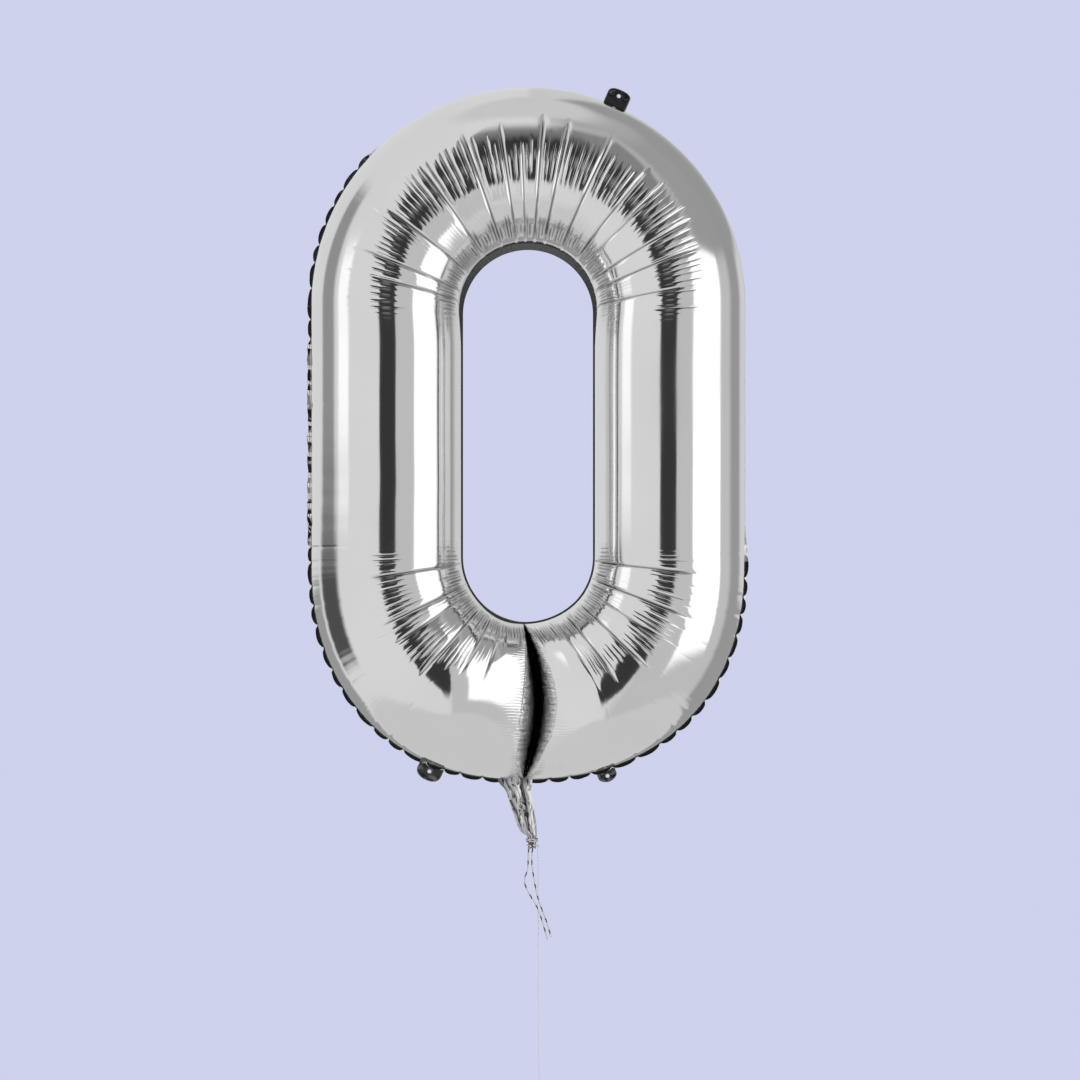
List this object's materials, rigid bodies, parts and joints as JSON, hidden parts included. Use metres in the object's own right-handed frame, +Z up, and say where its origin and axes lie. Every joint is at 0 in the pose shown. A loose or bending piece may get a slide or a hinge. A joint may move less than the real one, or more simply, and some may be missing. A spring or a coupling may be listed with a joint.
{
  "type": "foil number balloon",
  "caption": "Inflated silver foil balloon in the shape of the figure 0, with a closing weld, hanging tabs, and a tail tied in baker's twine on a clear line.",
  "frame": {"origin": "middle of the figure, where its lift acts", "axes": "+Z up the figure, +X to its right seen from the front, the front faces -Y"},
  "size_m": [0.48, 0.165, 1.1176],
  "materials": {
    "silver_foil": "mirror-bright metallised film",
    "silver_weld": "metallised film, heat sealed and finely crinkled",
    "valve_film": "thin clear film",
    "bakers_twine": "cotton twine, white with black dashes",
    "clear_line": "clear nylon monofilament"
  },
  "bodies": {
    "envelope": {"front_foil_panel": "silver_foil", "rear_foil_panel": "silver_foil", "outer_seal_band": "silver_weld", "hole_seal_band": "silver_weld", "closing_seal_band": "silver_weld", "valve_front_film": "valve_film", "valve_rear_film": "valve_film"},
    "tail": {"filling_tail_front_film": "silver_foil", "filling_tail_rear_film": "silver_foil", "twine_binding": "bakers_twine", "line_binding": "clear_line"},
    "twine_knot": {"twine_knot": "bakers_twine"},
    "twine_left_end": {"twine_left_end": "bakers_twine"},
    "twine_right_end": {"twine_right_end": "bakers_twine"},
    "line_knot": {"line_knot": "clear_line"},
    "hanging_line": {"hanging_line": "clear_line", "line_end_knot": "clear_line", "line_end_loop": "clear_line"},
    "top_tab": {"top_hanging_tab": "silver_weld"},
    "lower_left_tab": {"lower_left_hanging_tab": "silver_weld"},
    "lower_right_tab": {"lower_right_hanging_tab": "silver_weld"}
  },
  "joints": [
    {"name": "tail_bend", "type": "hinge", "parent": "envelope", "child": "tail", "pos_m": [-0.0185, 0, -0.3805], "axis": [1, 0, 0], "range_deg": [-70, 70]},
    {"name": "twine_fore_aft", "type": "hinge", "parent": "tail", "child": "twine_knot", "pos_m": [0.003, -0.0081, -0.447], "axis": [1, 0, 0], "range_deg": [-60, 0]},
    {"name": "twine_left_swing", "type": "hinge", "parent": "twine_knot", "child": "twine_left_end", "pos_m": [0.003, -0.0081, -0.447], "axis": [0, 1, 0], "range_deg": [-60, 60]},
    {"name": "twine_right_swing", "type": "hinge", "parent": "twine_knot", "child": "twine_right_end", "pos_m": [0.003, -0.0081, -0.447], "axis": [0, 1, 0], "range_deg": [-60, 60]},
    {"name": "line_fore_aft", "type": "hinge", "parent": "tail", "child": "line_knot", "pos_m": [0.0108, 0.0055, -0.4494], "axis": [1, 0, 0], "range_deg": [0, 60]},
    {"name": "line_swing", "type": "hinge", "parent": "line_knot", "child": "hanging_line", "pos_m": [0.0108, 0.0055, -0.4494], "axis": [0, 1, 0], "range_deg": [-60, 60]},
    {"name": "top_tab_fold", "type": "hinge", "parent": "envelope", "child": "top_tab", "pos_m": [0.0957, 0, 0.36059], "axis": [0.9171, 0, -0.3987], "range_deg": [-80, 80], "stiffness_Nm_per_rad": 0.0002},
    {"name": "lower_left_tab_fold", "type": "hinge", "parent": "envelope", "child": "lower_left_tab", "pos_m": [-0.10257, 0, -0.35748], "axis": [-0.9041, 0, 0.4274], "range_deg": [-80, 80], "stiffness_Nm_per_rad": 0.0002},
    {"name": "lower_right_tab_fold", "type": "hinge", "parent": "envelope", "child": "lower_right_tab", "pos_m": [0.08405, 0, -0.3653], "axis": [-0.9367, 0, -0.3502], "range_deg": [-80, 80], "stiffness_Nm_per_rad": 0.0002}
  ]
}
